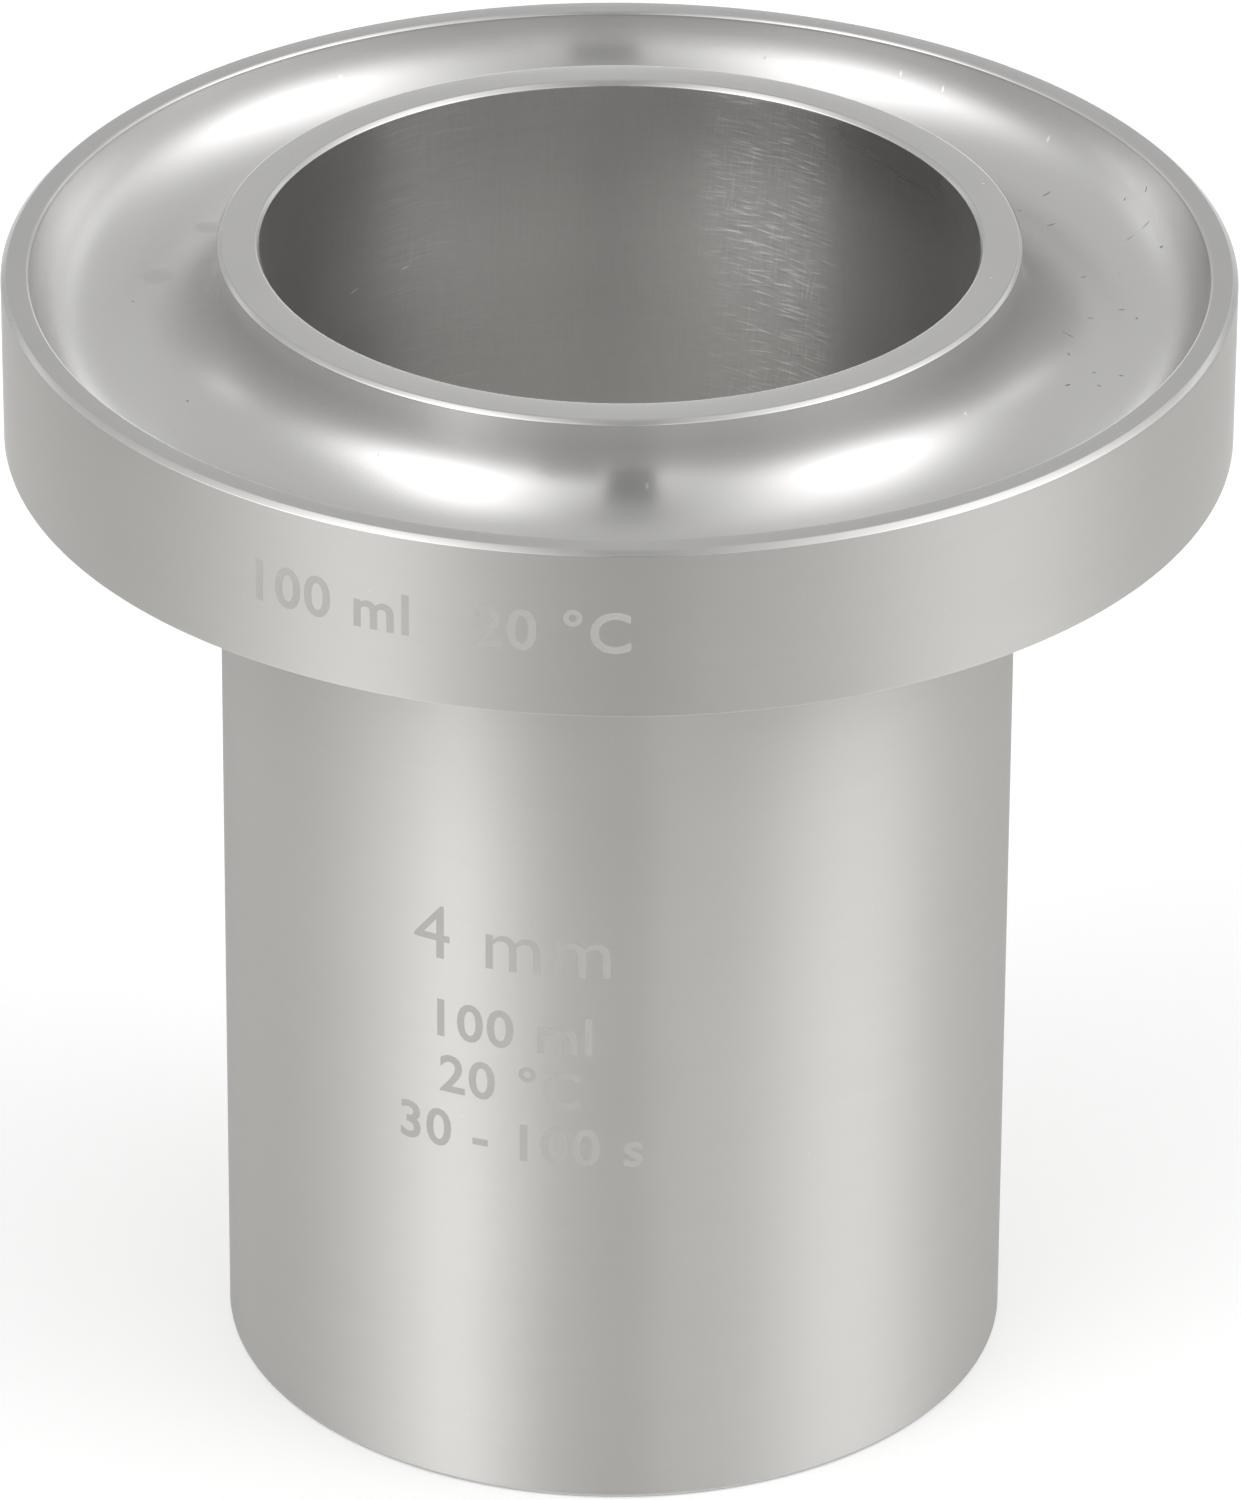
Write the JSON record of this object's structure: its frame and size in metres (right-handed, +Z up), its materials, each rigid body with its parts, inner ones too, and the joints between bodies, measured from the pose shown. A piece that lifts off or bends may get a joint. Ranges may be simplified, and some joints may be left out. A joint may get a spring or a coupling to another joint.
{
  "type": "viscosity cup",
  "caption": "Turned aluminium flow cup with a raised lip, an overflow gallery in its flange, a conical floor and a jet nozzle inside a skirt.",
  "frame": {"origin": "centre of the foot's plane, on the cup's axis", "axes": "+Z up along the cup's axis, out of its mouth; -Y is the side that carries the marks"},
  "size_m": [0.086, 0.086, 0.0858],
  "materials": {
    "cup_body": "fine turned, satin",
    "nozzle": "fine turned, bright"
  },
  "bodies": {
    "root": {"cup_body": "cup_body", "nozzle": "nozzle"}
  },
  "joints": []
}
